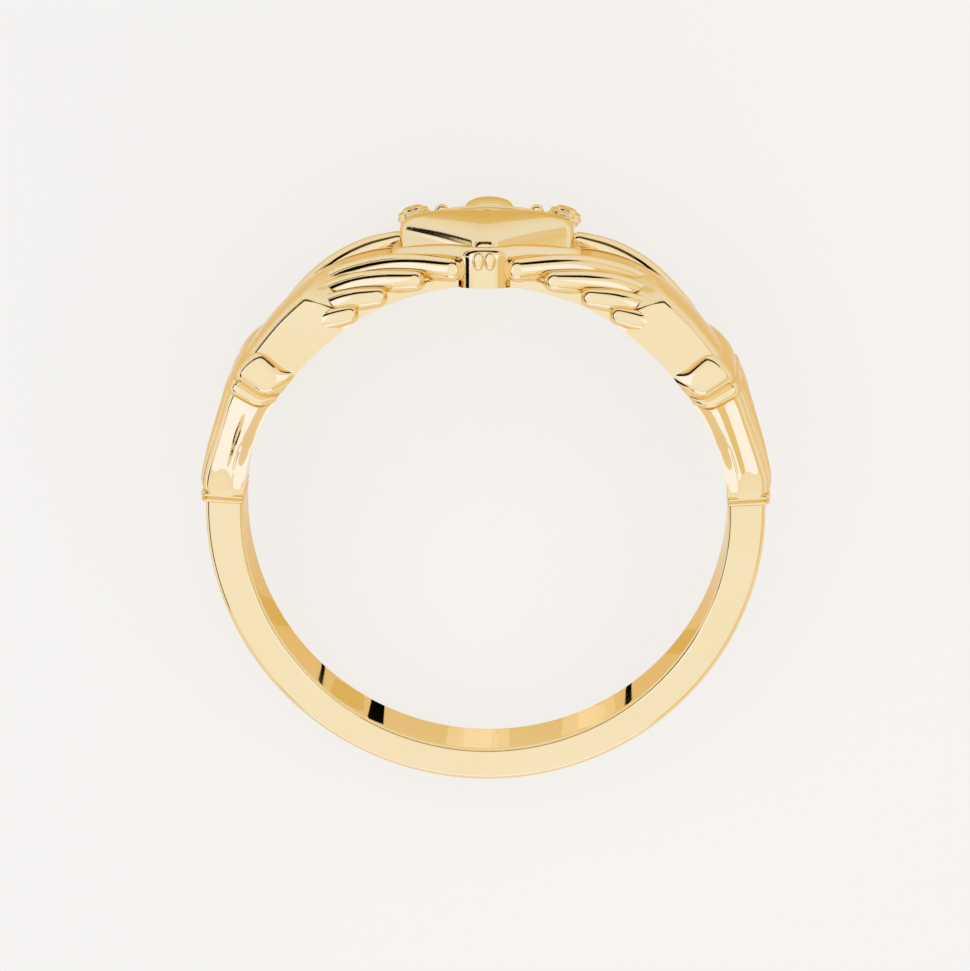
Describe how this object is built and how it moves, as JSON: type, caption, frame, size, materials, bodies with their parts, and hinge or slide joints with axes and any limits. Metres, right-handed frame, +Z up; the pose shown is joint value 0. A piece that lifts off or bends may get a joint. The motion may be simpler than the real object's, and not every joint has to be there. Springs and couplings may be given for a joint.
{
  "type": "claddagh ring",
  "caption": "Cast finger ring: a pair of cuffed hands holds a crowned heart, on a plain flat-sided shank.",
  "frame": {"origin": "middle of the ring's bounding box, on the floor that it lies on", "axes": "+Z up from the floor, +Y from the plain shank towards the heart, +X across the ring"},
  "size_m": [0.0204, 0.0212, 0.0085],
  "materials": {
    "gold": "polished yellow gold"
  },
  "bodies": {
    "root": {"claddagh_ring": "gold"}
  },
  "joints": []
}
